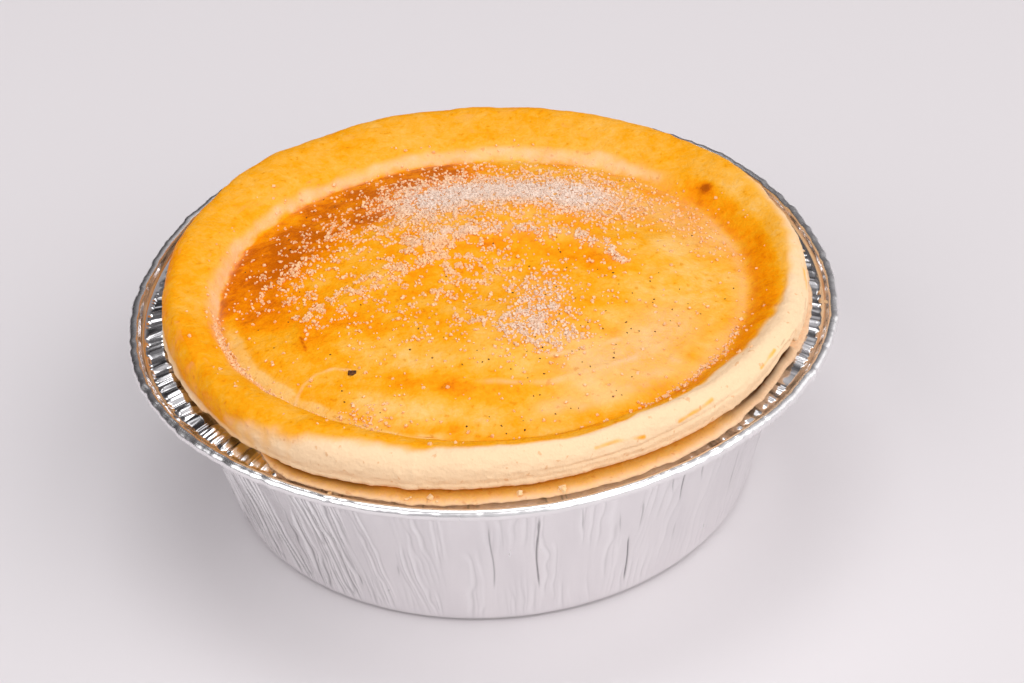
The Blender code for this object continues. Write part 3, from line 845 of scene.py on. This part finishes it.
# crease is the colour of the painted shade and dark painted reflection, and ridge the colour of the painted
# highlight on the fold tops
foilLook = {"dull": (0.86, 0.84, 0.85), "bright": (0.93, 0.91, 0.915), "crease": (0.10, 0.095, 0.10),
            "ridge": (1.0, 0.99, 0.995), "wallRoughness": 0.25, "smoother": -0.08}


def foilMaterial():
    k = foilLook
    material, tree, shader = newMaterial("crimpedFoil")
    smear, drawnOut = grain(tree, 4, 1.1, 0.08)
    tone = ramp(tree, smear, [(0.3, k["dull"]), (0.7, k["bright"])])
    # painted highlight on the fold tops
    tone = blendColour(tree, mask(tree, "ridge"), tone, k["ridge"])
    # painted shade in folds, creases and pleats, and dark painted reflection on the flange
    tone = blendColour(tree, calc(tree, "MULTIPLY", mask(tree, "crease"), 0.9), tone, k["crease"])
    tree.links.new(tone, shader.inputs["Base Color"])
    shader.inputs["Metallic"].default_value = 1.0
    rough = calc(tree, "MULTIPLY_ADD", mask(tree, "smooth"), k["smoother"], k["wallRoughness"])
    rough = calc(tree, "ADD", rough, swing(tree, drawnOut, 0.1))
    tree.links.new(rough, shader.inputs["Roughness"])
    tree.links.new(bumpFrom(tree, drawnOut, 0.00002, 0.3), shader.inputs["Normal"])
    return material


def bitMaterial(name, look):
    material, tree, shader = newMaterial(name)
    colour = ramp(tree, grain(tree, look["grain"], 0.2)[0], look["colours"])
    if "single" in look:
        thick = calc(tree, "MULTIPLY_ADD", mask(tree, "heap"), 0.75, 0.25)
        colour = blendColour(tree, thick, look["single"], colour)
    tree.links.new(colour, shader.inputs["Base Color"])
    shader.inputs["Roughness"].default_value = look["roughness"]
    return material


# Build

tin = makeTin()
print("tin: folded wall, flange and rolled edge,", len(tin.data.polygons), "faces")
pie = makePie()
print("pie: lid, rim and case,", len(pie.data.polygons), "faces")

spots, normals = surfaceSpots(pie, sugarLook["grains"], sugarThickness)
sizes = sugarLook["size"][0] + np.ptp(sugarLook["size"]) * draw.uniform(0, 1, len(spots)) ** 1.6
lifted = spots + normals * (sizes * draw.uniform(0.0, 0.4, len(spots)))[:, None]
sugar = makeBits("sugarGrains", lifted, sizes, 0.35)
heap = sugar.data.attributes.new("heap", "FLOAT", "POINT")
heap.data.foreach_set("value", np.repeat(sugarHeap(spots[:, 0], spots[:, 1]), 8).astype(np.float32))
print("sugar:", len(sugar.data.polygons), "faces")

spots = surfaceSpots(pie, speckLook["specks"], speckThickness)[0]
sizes = draw.uniform(*speckLook["size"], len(spots))
flake = speckLook["flake"]
points = np.array([v.co[:] for v in pie.data.vertices]) / mm
away = np.hypot(points[:, 0] - flake[0], points[:, 1] - flake[1])
near = np.argmin(away + (points[:, 2] < 36) * 1000)  # the nearest point of the lid, and not of the case
spots = np.vstack([spots, points[near] + [0, 0, 0.15]])
sizes = np.append(sizes, speckLook["flakeSize"])
specks = makeBits("bakedSpecks", spots, sizes, 0.25, 0.5)

places, sizes = [], []
for cx, cy, cz in crumbLook["spots"]:
    for _ in range(3):
        size = draw.uniform(*crumbLook["size"])
        places.append((cx + draw.uniform(-0.9, 0.9), cy + draw.uniform(-0.5, 0.5), cz + size * 0.3))
        sizes.append(size)
crumbs = makeBits("pastryCrumbs", np.array(places), np.array(sizes), 0.35, 0.7)
print("specks and crumbs:", len(specks.data.polygons) + len(crumbs.data.polygons), "faces")

tin.data.materials.append(foilMaterial())
pie.data.materials.append(crustMaterial())
sugar.data.materials.append(bitMaterial("sugar", sugarLook))
specks.data.materials.append(bitMaterial("bakedSpeck", speckLook))
crumbs.data.materials.append(bitMaterial("crumb", crumbLook))
print("materials: foil, crust, sugar, specks and crumbs")

for piece, slotName in ((tin, "foil"), (pie, "pastry"), (sugar, "pastry"), (specks, "pastry"),
                        (crumbs, "pastry")):
    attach(piece, "root")
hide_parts("foil_tin")
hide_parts("pie")

# Floor, light and camera

floorLook = {"half": 3, "below": 0.0001, "colour": (0.745, 0.705, 0.72), "roughness": 0.7}  # metres
half = floorLook["half"]
floorMesh = bpy.data.meshes.new("floor")
corners = [(-half, -half, 0), (half, -half, 0), (half, half, 0), (-half, half, 0)]
floorMesh.from_pydata(corners, [], [(0, 1, 2, 3)])
floor = putInScene("floor", floorMesh)
floor.location.z = -floorLook["below"]
floorMaterial, floorTree, floorShader = newMaterial("paleFloor")
floorShader.inputs["Base Color"].default_value = (*floorLook["colour"], 1)
floorShader.inputs["Roughness"].default_value = floorLook["roughness"]
floorMesh.materials.append(floorMaterial)

studio = {  # metres, and watts
    "key": {"at": (0.60, -0.50, 0.70), "size": 1.0, "power": 5.2, "colour": (1.0, 0.99, 0.98)},
    "side": {"at": (0.80, 0.30, 0.35), "size": 0.6, "power": 0.6, "colour": (1.0, 0.99, 0.98)},
    "fill": {"at": (-0.70, -0.40, 0.60), "size": 0.9, "power": 4.1, "colour": (0.99, 0.99, 1.0)},
    "top": {"at": (-0.05, 0.30, 1.10), "size": 0.6, "power": 2.9, "colour": (0.98, 0.99, 1.0)},
}
aim = Vector((0, 0, 0.03))  # every lamp points at the middle of the pie
for name, lamp in studio.items():
    data = bpy.data.lights.new(name, "AREA")
    data.shape = "SQUARE"
    data.size = lamp["size"]
    data.energy = lamp["power"]
    data.color = lamp["colour"]
    light = putInScene(name, data)
    light.location = lamp["at"]
    light.rotation_euler = (aim - Vector(lamp["at"])).to_track_quat("-Z", "Y").to_euler()

room = {  # light towards the window side, at the front right, and dim behind on the left
    "towards": (0.74, -0.52, 0.43), "strength": 0.9,
    "light": [(0.12, (0.05, 0.046, 0.048)), (0.42, (0.15, 0.145, 0.15)), (0.68, (0.54, 0.53, 0.545)),
              (1.0, (0.90, 0.89, 0.91))],
}
world = bpy.data.worlds.new("studio")
bpy.context.scene.world = world
world.use_nodes = True
sky = world.node_tree
towards = sky.nodes.new("ShaderNodeVectorMath")
towards.operation = "DOT_PRODUCT"
towards.inputs[1].default_value = room["towards"]
sky.links.new(sky.nodes.new("ShaderNodeTexCoord").outputs["Generated"], towards.inputs[0])
glow = ramp(sky, calc(sky, "MULTIPLY_ADD", towards.outputs["Value"], 0.5, 0.5), room["light"])
sky.links.new(glow, sky.nodes["Background"].inputs["Color"])
sky.nodes["Background"].inputs["Strength"].default_value = room["strength"]

# the distance is in metres, the angles are in radians and the lens is in millimetres
view = {"distance": 0.42994, "up": 0.6604, "right": 0.011, "tilt": 0.0438, "roll": -0.0658, "lens": 85}
place = Vector((0, -view["distance"] * math.cos(view["up"]), view["distance"] * math.sin(view["up"])))
ahead = -place.normalized()
sideways = Vector((1, 0, 0))
ahead = (ahead + view["right"] * sideways + view["tilt"] * sideways.cross(ahead)).normalized()
sideways = (sideways - sideways.dot(ahead) * ahead).normalized()
upwards = sideways.cross(ahead)
rolled = Matrix.Rotation(view["roll"], 3, -ahead)
stance = Matrix((rolled @ sideways, rolled @ upwards, -ahead)).transposed().to_4x4()
stance.translation = place
lens = bpy.data.cameras.new("camera")
lens.lens = view["lens"]
lens.sensor_width = 36
camera = putInScene("camera", lens)
camera.matrix_world = stance
bpy.context.scene.camera = camera
bpy.context.scene.view_settings.view_transform = "Standard"
